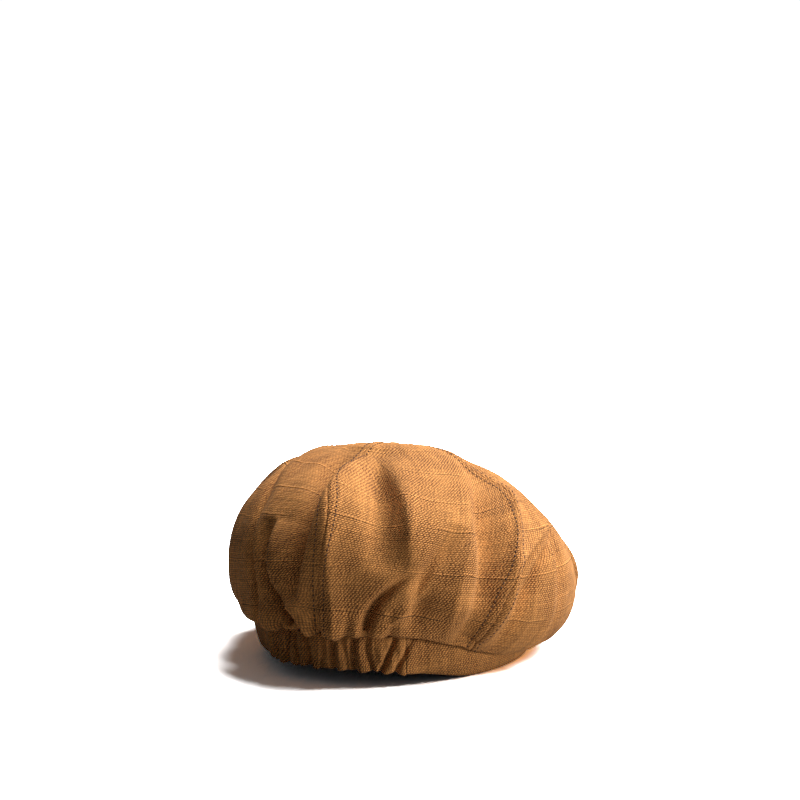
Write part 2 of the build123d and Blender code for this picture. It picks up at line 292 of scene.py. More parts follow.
# ---- folds ----
# (kind, side, path, size, peak, widths): the path has its (degrees, share up) points from the top down,
# the size in mm is reached at the share `peak` of the path's own height, the widths are the top's and foot's.
# A valley's or ridge's side is how much wider it is towards larger angles. A step's is the way it faces.
FOLDS = [
    # the recess left of the second bulge, and that bulge's edge
    ("valley", 0, [(25, .75), (56, .5), (63, .25), (66, 0)], 8.5, .4, (7, 3.2)),
    ("step", 1, [(25, .8), (52, .55), (66, .3), (69, 0)], 7.5, .4, (3, 1.2)),
    # the recess under the third bulge, down to the gathers
    ("valley", 0, [(68, .4), (73, .2), (83, 0)], 9.5, .45, (3.5, 3)),
    ("step", 1, [(71, .4), (77, .2), (90, 0)], 8, .5, (1.5, 1.1)),
    # the broad recess left of the centre-back seam, and the seam bulge's edge
    ("valley", 0, [(77, .8), (84, .5), (79, .15)], 8, .5, (8, 4)),
    ("step", 1, [(87, .75), (88, .5), (86, .3), (80, .1)], 7, .5, (2.5, 1.1)),
    ("ridge", 0, [(84, .8), (91, .4), (93, 0)], 4.2, .35, (8, 5.5)),
    # the dimple right of that seam: its far flank stands up to a sharp edge
    ("valley", .9, [(97, .8), (106, .5), (107, .25)], 7.5, .5, (11, 8)),
    ("ridge", 2.6, [(103, .75), (113, .5), (115, .25)], 3.8, .45, (4, 3.4)),
    # a pinch at the gathers' right end
    ("valley", 1.3, [(114, .25), (104, .15), (101, .05)], 6.5, .4, (3.6, 2.2)),
    # slanting pulls towards the gathers' right end
    ("ridge", 0, [(127, .35), (115, .15), (104, .05)], 2.6, .5, (4.4, 2.6)),
    ("valley", 1.8, [(133, .45), (120, .25), (115, .05)], 6, .5, (5, 3.5)),
    ("ridge", 0, [(138, .45), (130, .25), (126, .05)], 2.6, .5, (5, 4)),
    # the broad valley left of the side seam: a sharp near edge and a wide far flank
    ("valley", 2.2, [(170, .8), (148, .55), (140, .3), (131, .05)], 8.4, .5, (6, 3.8)),
    ("ridge", 0, [(180, .7), (156, .45), (140, .1)], 3.4, .5, (6, 4.6)),
    # the crease right of the side seam, the hollow facet and the next sharp edge
    ("step", -1, [(190, .5), (160, .4), (147, .25), (140, .1)], 4.8, .45, (3, 1.3)),
    ("valley", 1.4, [(190, .5), (163, .35), (151, .2), (145, .05)], 4.8, .55, (3, 5)),
    ("step", -1, [(171, .65), (180, .5), (173, .35), (167, .1)], 4.7, .42, (3.6, 1.3)),
    ("valley", 1.4, [(186, .6), (187, .5), (179, .3), (175, .15)], 3.8, .6, (4, 5)),
    ("ridge", 0, [(172, .85), (186, .7), (195, .55)], 1.4, .5, (8, 5)),
    # the side that faces away
    ("valley", 0, [(212, .6), (208, .3), (206, .1)], 4, .45, (8, 5)),
    ("step", 1, [(222, .6), (219, .4), (215, .05)], 4, .5, (3, 1.8)),
    ("valley", 0, [(238, .65), (233, .35), (230, .1)], 4.4, .45, (9, 6)),
    ("ridge", 0, [(246, .6), (242, .3), (239, .1)], 3, .45, (5, 3.5)),
    ("valley", 0, [(258, .55), (254, .3), (251, .05)], 3.4, .45, (7, 5)),
    ("valley", 0, [(281, .6), (285, .3), (286, .05)], 3.8, .45, (8, 5)),
    ("step", -1, [(292, .6), (296, .3), (298, .1)], 3.4, .45, (3, 2)),
    ("valley", 0, [(309, .7), (313, .35), (315, .1)], 4.4, .45, (9, 5)),
    ("ridge", 0, [(322, .6), (325, .3), (327, .05)], 3, .45, (5, 3.6)),
    ("valley", 0, [(337, .7), (340, .4), (343, .1)], 4.6, .45, (9, 5)),
    ("step", -1, [(351, .65), (352, .4), (353, .05)], 4, .5, (3, 1.8)),
    ("valley", 0, [(6, .7), (9, .4), (12, .05)], 4, .45, (8, 5)),
    ("valley", 0, [(31, .6), (36, .3), (39, .05)], 4.2, .4, (8, 4.5)),
    ("step", 1, [(38, .55), (41, .3), (44, .1)], 3.4, .45, (3, 1.8)),
]
# creases of the gathered casing: (degrees at the foot, degrees at the top, depth mm, width mm)
CASING_VALLEYS = [(64, 64, 1.3, 1.9), (68, 69, .7, 1.3), (73, 74, 1.9, 1.7), (77, 77, 1.6, 1.4),
                  (82, 81, 2, 1.6), (87, 87, .8, 1.3), (91, 91, 1.9, 1.6), (95, 94, .6, 1.2),
                  (98, 97, 1.9, 1.8), (103, 102, 1.6, 1.5), (106, 110, 2.4, 1.4), (111, 116, 1.6, 1.6)]
# clefts between the puffs above them: (degrees, lean up the crown, depth mm, width mm)
PUFF_VALLEYS = [(66, 0, 1.6, 2.2), (75, -8, 2.6, 2), (82, -14, 1.5, 1.8), (89, -10, 3.4, 2), (95, 10, 1, 2),
                (108, 12, 2.2, 1.8)]


def fold_field(deg, s, radius):
    """How far each point of the crown moves out, and round towards larger angles, in mm."""
    out, round_ = np.zeros_like(deg), np.zeros_like(deg)
    for kind, side, path, size, peak, (wide_top, wide_foot) in FOLDS:
        a, share = np.array(path[::-1], float).T
        centre = curve(s, share, a)
        along = np.clip((s - share[0]) / (share[-1] - share[0]), 0, 1)
        amp = size * np.sin(np.pi * along ** (math.log(.5) / math.log(peak))) ** .8
        w = wide_foot + (wide_top - wide_foot) * along
        d = arc_mm(deg, centre, radius)
        if kind != "step" and side:
            w = w * np.where(d > 0, side, 1)
        if kind == "valley":
            out -= amp * np.exp(-(d / w)**2)
        elif kind == "ridge":
            out += amp * np.exp(-np.abs(d / w)**1.4)
        else:
            x = side * d
            up = 1 / (1 + np.exp(-np.clip(x / (w * .45), -30, 30)))
            raised, sunk = up * np.exp(-np.maximum(x, 0) / 13), .4 * (1 - up) * np.exp(-np.maximum(-x, 0) / 5)
            out += amp * (raised - sunk)
            round_ -= side * .55 * amp * np.exp(-((x - .8 * w) / (1.9 * w))**2)
    return out, round_


def wave(deg, s, seed, cells, rows):
    """Slow, smooth unevenness, the same on both sides of every seam."""
    r = np.random.default_rng(seed)
    total = np.zeros_like(deg)
    for _ in range(14):
        m, k = r.integers(2, cells), r.uniform(.5, rows)
        total += np.cos(np.radians(m * deg) + k * s * np.pi * 2 + r.uniform(0, 6.28)) * r.uniform(.4, 1)
    return total / 4


def crown_surface(deg, s, seams=True):
    p, n, length = CROWN.at(deg, s)
    radius = np.maximum(np.hypot(p[..., 0], p[..., 1]), 1)
    out, round_ = fold_field(deg, s, radius)
    out = np.where(out > 0, out * smooth(0, .1, s), out)      # a bulge doesn't push the crown's lip down
    calm = smooth(0, .05, s) * smooth(1, .8, s)
    out = out + .55 * calm * wave(deg, s, 3, 9, 2.5) + .22 * calm * wave(deg, s, 4, 26, 5)
    # the cloth is drawn into small puckers above the gathered casing
    gathers = around(deg, [(50, 0), (64, 1), (104, 1), (116, 0), (200, 0), (300, 0)])
    pucker = smooth(.0, .03, s) * smooth(.17, .05, s) * gathers
    out += .3 * pucker
    for bottom, top, depth, width in CASING_VALLEYS:
        d = arc_mm(deg, top, radius)
        out -= pucker * depth * .45 * np.exp(-(d / (width * 1.25))**2)
    for at, lean, depth, width in PUFF_VALLEYS:
        d = arc_mm(deg - at, lean * s, radius)
        out -= pucker * depth * np.exp(-np.abs(d / width)**1.5)
    if seams:
        for first in PANELS.values():
            d = np.abs(arc_mm(deg, seam_at(first, s), radius))
            strength = smooth(0, .02, s) * smooth(1, .96, s)
            welt, join = .6 * np.exp(-(d / 3.6)**6), .45 * np.exp(-(d / .45)**2)
            out += strength * (welt - join - .4 * np.exp(-((d - STITCH_OFFSET) / .5)**2))
    t = np.radians(deg)
    tangent = np.stack([-np.sin(t), np.cos(t), np.zeros_like(t)], -1)
    return p + n * out[..., None] + tangent * round_[..., None], n, length


# ---- mesh helpers ----
def add_object(name, data):
    obj = bpy.data.objects.new(name, data)
    bpy.context.scene.collection.objects.link(obj)
    return obj


def make_object(name, verts, faces, uvs):
    mesh = bpy.data.meshes.new(name)
    mesh.from_pydata((np.asarray(verts) * MM).tolist(), [], [tuple(f) for f in faces])
    layer = mesh.uv_layers.new(name="UVMap")
    index = np.empty(len(mesh.loops), int)
    mesh.loops.foreach_get("vertex_index", index)
    layer.data.foreach_set("uv", np.asarray(uvs, np.float32)[index].ravel())
    mesh.validate()
    mesh.polygons.foreach_set("use_smooth", [True] * len(mesh.polygons))
    return add_object(name, mesh)


def grid_faces(n, m, start=0, flip=False, wrap=False):
    i, j = grid(np.arange(n if wrap else n - 1), np.arange(m - 1))
    i, j = i.ravel(), j.ravel()
    k = (i + 1) % n
    quads = np.stack([i * m + j, k * m + j, k * m + j + 1, i * m + j + 1], 1) + start
    return quads[:, ::-1] if flip else quads


def grid_normals(P, wrap=False):
    if wrap:
        across = np.roll(P, -1, 0) - np.roll(P, 1, 0)
    else:
        across = np.gradient(P, axis=0)
    return unit(np.cross(across, np.gradient(P, axis=1)))


def cloth(name, P, inward, uv, wrap=False):
    """A closed sheet: the outer grid P (n, m, 3), the same moved by inward, and the edges between."""
    n, m, _ = P.shape
    verts = np.concatenate([P.reshape(-1, 3), (P + inward).reshape(-1, 3)])
    uvs = np.tile(uv.reshape(-1, 2), (2, 1))
    size = n * m
    faces = [grid_faces(n, m, 0, False, wrap), grid_faces(n, m, size, True, wrap)]
    rim = [np.arange(n) * m, np.arange(n) * m + m - 1]
    for k, ring in enumerate(rim):
        nxt = np.roll(ring, -1) if wrap else ring[1:]
        cur = ring if wrap else ring[:-1]
        quad = np.stack([cur, cur + size, nxt + size, nxt], 1)
        faces.append(quad if k == 0 else quad[:, ::-1])
    if not wrap:
        for k, ring in enumerate([np.arange(m), np.arange(m) + (n - 1) * m]):
            cur, nxt = ring[:-1], ring[1:]
            quad = np.stack([cur, nxt, nxt + size, cur + size], 1)
            faces.append(quad if k == 0 else quad[:, ::-1])
    return make_object(name, verts, np.concatenate(faces), uvs)


def warp(piece):
    """Bakes the piece's placement into its mesh, and gives the piece back."""
    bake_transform(piece)
    return piece


def dress(piece, material, slot, *nodes):
    piece.data.materials.append(material)
    if nodes:
        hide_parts(*nodes)
    return piece


def paint(node, material):
    """Gives a CAD node that stays in view its own material."""
    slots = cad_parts[node].data.materials
    slots.clear()
    slots.append(material)


# ---- materials: everything is worked out from the cloth's own millimetres (its UV map) ----
class Graph:
    """Short names for the shader nodes used here. Inputs are sockets or numbers."""
    def __init__(self, name):
        self.material = bpy.data.materials.new(name)
        self.material.use_nodes = True
        self.tree = self.material.node_tree
        self.shader = self.tree.nodes["Principled BSDF"]

    def put(self, socket, value):
        if isinstance(value, bpy.types.NodeSocket):
            self.tree.links.new(value, socket)
        else:
            socket.default_value = value

    def node(self, kind, **settings):
        made = self.tree.nodes.new("ShaderNode" + kind)
        for key, value in settings.items():
            setattr(made, key, value)
        return made

    def feed(self, made, *values):
        for socket, value in zip(made.inputs, values):
            self.put(socket, value)
        return made.outputs[0]

    def math(self, operation, *values):
        return self.feed(self.node("Math", operation=operation), *values)

    def times(self, a, b):
        return self.math("MULTIPLY", a, b)

    def plus(self, a, b):
        return self.math("ADD", a, b)

    def minus(self, a, b):
        return self.math("SUBTRACT", a, b)

    def over(self, a, b):
        return self.math("DIVIDE", a, b)

    def centred(self, value, size):
        """A value from 0 to 1, moved to lie round 0 and made `size` wide."""
        return self.times(self.minus(value, .5), size)

    def wave01(self, angle):
        """A sine that runs from 0 to 1."""
        return self.plus(.5, self.times(self.math("SINE", angle), .5))

    def ramp(self, value, low, high, to_low=0.0, to_high=1.0):
        made = self.node("MapRange", interpolation_type="SMOOTHSTEP")
        return self.feed(made, value, low, high, to_low, to_high)

    def point(self, u, v, w=0.0):
        return self.feed(self.node("CombineXYZ"), u, v, w)

    def noise(self, point, scale=1.0, detail=2.0, roughness=.5):
        made = self.node("TexNoise", noise_dimensions="3D")
        for name, item in (("Vector", point), ("Scale", scale), ("Detail", detail), ("Roughness", roughness)):
            self.put(made.inputs[name], item)
        return made.outputs["Fac"]

    def random(self, point):
        made = self.node("TexWhiteNoise", noise_dimensions="3D")
        self.put(made.inputs["Vector"], point)
        return made.outputs["Value"]

    def mix(self, share, a, b):
        made = self.node("Mix", data_type="RGBA")
        for k, item in ((0, share), (6, a), (7, b)):
            self.put(made.inputs[k], item)
        return made.outputs[2]

    def scaled(self, colour, factor):
        made = self.node("VectorMath", operation="SCALE")
        self.put(made.inputs[0], colour)
        self.put(made.inputs["Scale"], factor)
        return made.outputs[0]

    def surface(self, colour, height, depth):
        """The base colour, and a bump of depth mm."""
        self.put(self.shader.inputs["Base Color"], colour)
        made = self.node("Bump")
        self.put(made.inputs["Height"], height)
        made.inputs["Distance"].default_value = depth * MM
        self.put(self.shader.inputs["Normal"], made.outputs[0])

    def uv(self):
        split = self.node("SeparateXYZ")
        self.put(split.inputs[0], self.node("TexCoord").outputs["UV"])
        return split.outputs[0], split.outputs[1]

    def finish(self, roughness, specular, sheen=0.0, sheen_colour=None, metallic=0.0):
        for name, value in (("Roughness", roughness), ("Specular IOR Level", specular),
                            ("Sheen Weight", sheen), ("Sheen Roughness", .45), ("Metallic", metallic)):
            self.shader.inputs[name].default_value = value
        if sheen_colour:
            self.shader.inputs["Sheen Tint"].default_value = sheen_colour
        return self.material


CELL_U, CELL_V = 1.75, 1.02  # one slanted float of the twill, and one row of them
DASH_SLANT = .62  # how far a float leans along U for each mm up
DASH_LONG, DASH_WIDE = .74, .50  # half sizes of a float
SLUB_ROWS = (34, 57, 80, 97, 118, 141, 160)  # where the slub yarns lie, in mm of V


def twill_material(name, light, dark, slubs=True):
    """Slub twill: short slanted floats in bricks, thick and thin yarns both ways, a few raised slub lines
    with a painted highlight along them and a painted shadow just below, and painted shade in the gaps between
    floats.
    """
    g = Graph(name)
    u, v = g.uv()
    wander = g.centred(g.noise(g.point(g.times(u, .06), g.times(v, .06))), 1.2)
    u2, v2 = g.plus(u, wander), g.plus(v, wander)
    row = g.math("FLOOR", g.over(v2, CELL_V))
    odd = g.times(g.math("MODULO", g.plus(row, 4000), 2), .5)
    stray = g.noise(g.point(g.times(u, .11), g.times(row, .83), 4.0), 1.0, 1)
    odd = g.plus(odd, g.times(stray, .9))
    along = g.plus(g.over(u2, CELL_U), odd)
    column = g.math("FLOOR", along)
    y = g.centred(g.math("FRACT", g.over(v2, CELL_V)), CELL_V)
    x = g.centred(g.math("FRACT", along), CELL_U)
    jitter = g.random(g.point(row, column, 7.0))
    x = g.plus(x, g.centred(jitter, .34))
    lean = g.minus(x, g.times(y, DASH_SLANT))
    dx, dy = g.over(lean, DASH_LONG), g.over(y, DASH_WIDE)
    far = g.plus(g.times(dx, dx), g.times(dy, dy))
    float_height = g.math("MAXIMUM", g.minus(1.0, far), 0.0)
    float_height = g.math("POWER", float_height, .6)
    each = g.random(g.point(column, row))
    streak = g.noise(g.point(g.times(u, .8), g.times(v, .018)), 1.0, 3, .65)
    level = g.noise(g.point(g.times(u, .014), g.times(v, .85), 9.0), 1.0, 3, .65)
    cloud = g.noise(g.point(u, v, 3.0), .05, 3)
    open_weave = g.ramp(g.noise(g.point(u, v, 8.0), .045, 3, .6), .36, .64, .62, 1.05)
    yarn = g.plus(g.centred(streak, 1.15), g.centred(level, .95))
    height = g.times(float_height, g.plus(g.times(each, .45), .75))
    height = g.times(height, g.plus(.35, g.times(open_weave, .75)))
    height = g.plus(height, g.times(yarn, .9))
    shade = g.plus(1.0, g.plus(yarn, g.centred(cloud, .16)))
    shade = g.times(shade, g.plus(.86, g.times(each, .28)))
    if slubs:
        for k, at in enumerate(SLUB_ROWS):
            drift = g.noise(g.point(g.times(u, .035), float(k)))
            off = g.minus(g.minus(v, at), g.times(drift, 5.0))
            present = g.ramp(g.noise(g.point(g.times(u, .03), k + .5), 1.0, 1), .28, .42)
            line = g.times(present, g.ramp(g.math("ABSOLUTE", off), .15, .6, 1.0, 0.0))
            under = g.times(present, g.ramp(g.math("ABSOLUTE", g.plus(off, .75)), .1, .55, 1.0, 0.0))
            height = g.plus(height, g.times(line, .9))
            height = g.minus(height, g.times(under, .5))
            # painted highlight along each slub line, and a painted shadow just below it
            shade = g.plus(shade, g.times(line, .32))
            shade = g.minus(shade, g.times(under, .28))
    # painted shade: the gaps between the floats are coloured darker, more so where the weave is open
    gap_shade = g.times(g.minus(1.0, g.ramp(float_height, 0.0, .75)), open_weave)
    colour = g.mix(gap_shade, light, dark)
    g.surface(g.scaled(colour, shade), height, .34)
    return g.finish(.92, .18, .08, (1.0, .72, .45, 1))


def plain_cotton(name, light, dark, cell=.7, depth=.12):
    """A fine plain weave for the lining, sweatband, interfacing and label."""
    g = Graph(name)
    u, v = g.uv()
    wave_u = g.math("SINE", g.times(u, 2 * math.pi / cell))
    wave_v = g.math("SINE", g.times(v, 2 * math.pi / cell))
    weave = g.plus(.5, g.times(g.times(wave_u, wave_v), .5))
    slub = g.noise(g.point(g.times(u, .05), g.times(v, 1.4)))
    cloud = g.noise(g.point(u, v, 1.0), .08, 3)
    fibre = g.noise(g.point(u, v, 5.0), 3.0, 2)
    shade = g.plus(.62, g.times(g.plus(g.plus(slub, cloud), fibre), .25))
    # painted shade: the weave's low places are coloured darker
    g.surface(g.scaled(g.mix(weave, dark, light), shade), g.plus(weave, slub), depth)
    return g.finish(.88, .25, .1)


def thread_material(name, colour, dark):
    """Sewing thread: two plies that wind along the stitch."""
    g = Graph(name)
    u, v = g.uv()
    ply = g.wave01(g.times(g.plus(g.times(u, .9), g.times(v, 6.0)), 2.2))
    # painted shade: the groove between the plies is coloured darker
    g.surface(g.mix(ply, dark, colour), ply, .06)
    return g.finish(.7, .3, .1)


def knit_elastic(name):
    g = Graph(name)
    u, v = g.uv()
    rib = g.wave01(g.times(v, 4.2))
    loops = g.wave01(g.times(u, 6.5))
    height = g.plus(rib, g.times(loops, .4))
    # painted shade: the elastic is coloured darker grey in the low places of its ribs and loops
    g.surface(g.mix(height, (.45, .43, .40, 1), (.80, .78, .74, 1)), height, .25)
    return g.finish(.8, .3)


def hard_material(name, colour, dark, roughness, metallic=0.0):
    """The stiffener's plastic and the button's metal: fine scratches and a soft mottle."""
    g = Graph(name)
    place = g.node("TexCoord").outputs["Object"]
    mottle = g.noise(place, 260.0, 4)
    scratches = g.noise(place, 1500.0, 2)
    g.surface(g.mix(mottle, dark, colour), scratches, .03)
    return g.finish(roughness, .5, metallic=metallic)


# the darker tan is painted shade for the gaps between the twill's floats
TAN_LIGHT, TAN_GAP_SHADE = (.56, .243, .068, 1), (.14, .045, .011, 1)
SHELL = twill_material("slub_twill", TAN_LIGHT, TAN_GAP_SHADE)
SHELL_PLAIN = twill_material("slub_twill_band", TAN_LIGHT, TAN_GAP_SHADE, slubs=False)
NAVY = plain_cotton("navy_cotton", (.030, .042, .085, 1), (.010, .014, .034, 1))
NAVY_TAPE = plain_cotton("navy_sweatband", (.036, .048, .092, 1), (.012, .016, .038, 1), cell=1.1, depth=.2)
PLAIN = plain_cotton("interfacing", (.74, .72, .68, 1), (.50, .48, .45, 1), cell=1.6)
LABEL = plain_cotton("label_cloth", (.80, .76, .68, 1), (.55, .51, .44, 1), cell=.5, depth=.08)
# the topstitch thread is coloured dark brown as painted shade, standing for the shadows at the stitch holes
SHADE_DARKENED_THREAD = thread_material("topstitch_thread_painted_shade", (.13, .048, .014, 1), (.05, .018, .006, 1))
NAVY_THREAD = thread_material("navy_thread", (.06, .08, .15, 1), (.02, .025, .05, 1))
ELASTIC = knit_elastic("knitted_elastic")
PLASTIC = hard_material("brim_plastic", (.72, .74, .76, 1), (.58, .60, .63, 1), .42)
METAL = hard_material("button_metal", (.62, .60, .56, 1), (.42, .40, .37, 1), .32, 1.0)


# ---- the crown's panels and lining ----
def seam_columns(width, step):
    """Shares across a panel: close together beside both seams, even between them."""
    near = np.array([0, .35, .7, 1.1, 1.6, 2.1, 2.6, 3.1, 3.6, 4.3, 5.1])
    middle = np.linspace(5.1, width - 5.1, max(4, int(round((width - 10.2) / step))))[1:-1]
    return np.concatenate([near, middle, width - near[::-1]]) / width


def panel_grid(first, shares, rows, seams_at):
    a, b = seams_at(first, rows), seams_at(first + PANEL_DEG, rows)
    deg = a[None] + (b - a)[None] * shares[:, None]
    return deg, np.broadcast_to(rows, deg.shape)


def lengths(P):
    """The longest run across a grid and the longest up it, in mm, and its area in square mm."""
    across = span(np.diff(P, axis=0)).sum(0).max()
    up = span(np.diff(P, axis=1)).sum(1).max()
    a, b = P[1:, :-1] - P[:-1, :-1], P[:-1, 1:] - P[:-1, :-1]
    c, d = P[1:, 1:] - P[1:, :-1], P[1:, 1:] - P[:-1, 1:]
    area = (span(np.cross(a, b)) + span(np.cross(c, d))).sum() / 2
    return across, up, area


CROWN_CLOTH, LINING_CLOTH = .9, .5
UV_TOP = 180.0  # the weave's rows are counted down from the crown's point
CROWN_ROWS = np.concatenate([np.linspace(0, .12, 36)[:-1], np.linspace(.12, .9, 118)[:-1],
                             np.linspace(.9, 1, 20)])


PANEL_WIDE, COLUMN_STEP = 96, 1.05  # mm: a panel at its widest, and its grid away from the seams


def crown_panel(name, first):
    shares = seam_columns(PANEL_WIDE, COLUMN_STEP)
    deg, s = panel_grid(first, shares, CROWN_ROWS, seam_at)
    P, base_normal, length = crown_surface(deg, s)
    run = np.cumsum(span(np.diff(P, axis=0, prepend=P[:1])), axis=0)
    uv = np.stack([run - run[len(run) // 2] + 3 * first, UV_TOP - (1 - s) * length], -1)
    piece = cloth("crown_cloth_" + name, P, -CROWN_CLOTH * base_normal, uv)
    dress(piece, SHELL, "shell_twill", "crown_panel_" + name)
    return warp(piece)


MIDDLE = np.array([0, 0, 40.0])  # the lining's clearance is measured outwards from here
ROOM_STEP, LINING_CLEAR = 3, 2.8


def directions(P):
    """Distance from the middle, and the direction as fractional cells of ROOM_STEP degrees."""
    d = P - MIDDLE
    far = span(d)
    around_ = np.degrees(np.arctan2(d[..., 1], d[..., 0])) % 360 / ROOM_STEP
    up = (np.degrees(np.arcsin(d[..., 2] / far)) + 90) / ROOM_STEP
    return d, far, around_, up


def crown_room():
    """How near the folded crown comes to the middle in each direction, smoothed but never further."""
    deg, s = grid(np.arange(0, 360, .5), np.linspace(.06, 1, 260))
    P, _, _ = crown_surface(deg, s, seams=False)
    _, far, x, y = directions(P)
    room = np.full((360 // ROOM_STEP, 180 // ROOM_STEP + 1), 200.0)
    np.minimum.at(room, (x.astype(int) % room.shape[0], y.astype(int)), far)
    for combine in (np.min, np.mean):
        padded = np.pad(np.pad(room, ((1, 1), (0, 0)), mode="wrap"), ((0, 0), (1, 1)), mode="edge")
        n, m = room.shape
        room = combine([padded[i:i + n, j:j + m] for i in range(3) for j in range(3)], axis=0)
    return room


def inside_crown(P, room):
    """Lining points drawn in where a fold of the crown needs their place."""
    d, far, x, y = directions(P)
    x, y = x - .5, y - .5
    i, j = np.floor(x).astype(int), np.clip(np.floor(y).astype(int), 0, room.shape[1] - 2)
    u, w = x - i, np.clip(y - j, 0, 1)
    i, k = i % room.shape[0], (i + 1) % room.shape[0]
    limit = between(room, i, k, j, u, w)
    return MIDDLE + d * np.minimum(1, (limit - LINING_CLEAR) / far)[..., None]


ROOM = crown_room()


LINING_ROWS = np.linspace(0, 1, 74)


def lining_panel(name, first):
    shares = np.linspace(0, 1, 38)
    deg, s = panel_grid(first, shares, LINING_ROWS, lambda seam, s: np.full_like(s, float(seam)))
    P, normal, length = LINING.at(deg, s)
    radius = np.hypot(P[..., 0], P[..., 1])
    d = np.minimum(shares, 1 - shares)[:, None] * PANEL_DEG * np.pi / 180 * radius
    calm = smooth(0, .08, s) * smooth(1, .9, s)
    ripple = -.5 - .5 * wave(deg, s, 21, 16, 3) * calm - .35 * np.exp(-(d / .9)**2) * calm
    P = inside_crown(P + normal * np.minimum(ripple, 0)[..., None], ROOM)
    uv = np.stack([np.radians(deg - first - PANEL_DEG / 2) * radius, s * length], -1)
    piece = cloth("lining_cloth_" + name, P, -LINING_CLOTH * normal, uv)
    dress(piece, NAVY, "lining_cotton", "lining_panel_" + name)
    return warp(piece)


# ---- the band: every layer is a ring of the same shape ----
# how far the band's foot is set in from its top
LEAN = [(355, 4.5), (20, 5), (45, 4), (66, 2.4), (90, 1.2), (114, 1), (140, 1.6), (180, 2), (230, 2),
        (270, 2), (320, 3)]
SPLIT_LEFT, SPLIT_RIGHT = 66, 114  # where the elastic's ends are sewn down


def gathered_share(deg):
    x = np.asarray(deg) % 360
    return smooth(57, 65, x) * smooth(121, 112, x)


def ring_surface(deg, v, out=0.0, drop=0.0, lift=0.0):
    """A layer of the band, out mm from its outer face; its edges drop below the top and lift off the foot."""
    low, high = around(deg, LOW) + lift, around(deg, HIGH) - drop
    r = band_r(deg) + out - around(deg, LEAN) * (1 - v)
    t = np.radians(deg)
    return polar(r, t, low + (high - low) * v)


def band_relief(deg, v):
    """The outer cloth's folds: gathers over the elastic, and a slack swelling beside it."""
    g = gathered_share(deg)
    out = (4.6 - 1.6 * smooth(.72, 1, v)) * g
    arc = band_r(deg) * np.pi / 180
    for bottom, top, depth, width in CASING_VALLEYS:
        centre = bottom + (top - bottom) * v + .5 * np.sin(3.1 * v + bottom)
        d = (deg - centre) * arc
        body = .86 - .3 * smooth(.72, 1, v)
        out -= depth * 2.1 * body * np.exp(-np.abs(d / (.9 * width))**1.7)
    out += .35 * g * np.sin(deg * 1.9 + 2.5 * v) * np.sin(np.pi * v)
    slack = around(deg, [(100, 0), (116, .4), (128, 1), (140, 1), (155, .6), (175, .3), (260, .3), (40, .3),
                         (60, .5)])
    out += 1.9 * slack * np.sin(np.pi * np.clip(v, 0, 1)**.8) * (1 - g)
    edge = np.exp(-(v / .05)**2) + np.exp(-((1 - v) / .05)**2)
    return out - .55 * edge


def ring_piece(name, deg, material, slot, node, out, thick, rows, drop=0.0, lift=0.0, relief=None):
    v = np.linspace(0, 1, rows)
    d2, v2 = grid(deg, v)
    P = ring_surface(d2, v2, out, drop, lift)
    t = np.radians(d2)
    outward = polar(1, t, 0 * t)
    if relief is not None:
        P = P + outward * relief(d2, v2)[..., None]
    if relief is band_relief:
        foot = gathered_share(d2) * (1 - v2)**2
        P[..., 2] += foot * (.5 * np.sin(d2 * .86 + 1) - .16 * relief(d2, v2) + .3)
    height = P[..., 2]
    run = arc_lengths(P[:, rows // 2])
    uv = np.stack([np.broadcast_to(run[:, None], height.shape), height], -1)
    piece = cloth(name, P, -thick * outward, uv)
    dress(piece, material, slot, node)
    return warp(piece)


def plain_arc(step):
    """Angles from the elastic's right end, round the front, to its left end."""
    return np.linspace(SPLIT_RIGHT, 360 + SPLIT_LEFT, int((360 + SPLIT_LEFT - SPLIT_RIGHT) / step))


def back_arc(step):
    return np.linspace(SPLIT_LEFT, SPLIT_RIGHT, int((SPLIT_RIGHT - SPLIT_LEFT) / step))


def band():
    """Each layer: name, angles, material, slot, CAD node, mm out, mm thick, rows, how it is held."""
    ring_piece("band_front_cloth", plain_arc(.7), SHELL_PLAIN, "shell_twill", "band_front", 0, 1.1, 30,
               relief=lambda d, v: band_relief(d % 360, v))
    ring_piece("band_back_gathered", back_arc(.3), SHELL_PLAIN, "shell_twill", "band_back_casing", 0, 1.0, 34,
               drop=.1, relief=band_relief)
    ring_piece("band_interfacing_strip", plain_arc(3), PLAIN, "interfacing", "band_interfacing", -1.3, .4, 6,
               drop=1.2, lift=.8)
    for end, arc, held in (("front", plain_arc(1.2), "stretched"), ("back", back_arc(.5), "gathered")):
        ring_piece("sweatband_" + end + "_tape", arc, NAVY_TAPE, "sweatband_cotton", "sweatband_" + end,
                   -1.9, .8, 12, drop=1, lift=.5, relief=sweat_relief)
    ring_piece("elastic_strap_knit", back_arc(2), ELASTIC, "elastic", "elastic_strap", -.5, 1.0, 8,
               drop=2, lift=1.5)


def sweat_relief(deg, v):
    """The inside face is drawn into shallow tucks where the elastic is."""
    tuck = gathered_share(deg) * .45 * (1 + np.sin(deg * 2.6)) * np.sin(np.pi * v)
    return -tuck - .25 * np.exp(-(v / .08)**2)


# ---- stitches ----
STITCH_LONG, STITCH_GAP, STITCH_RADIUS = 1.7, .9, .38
STITCH_MARGIN = .6  # a line's bare ends
STITCH_SHARES = np.linspace(.022, .93, 420)  # how far up the crown its lines run


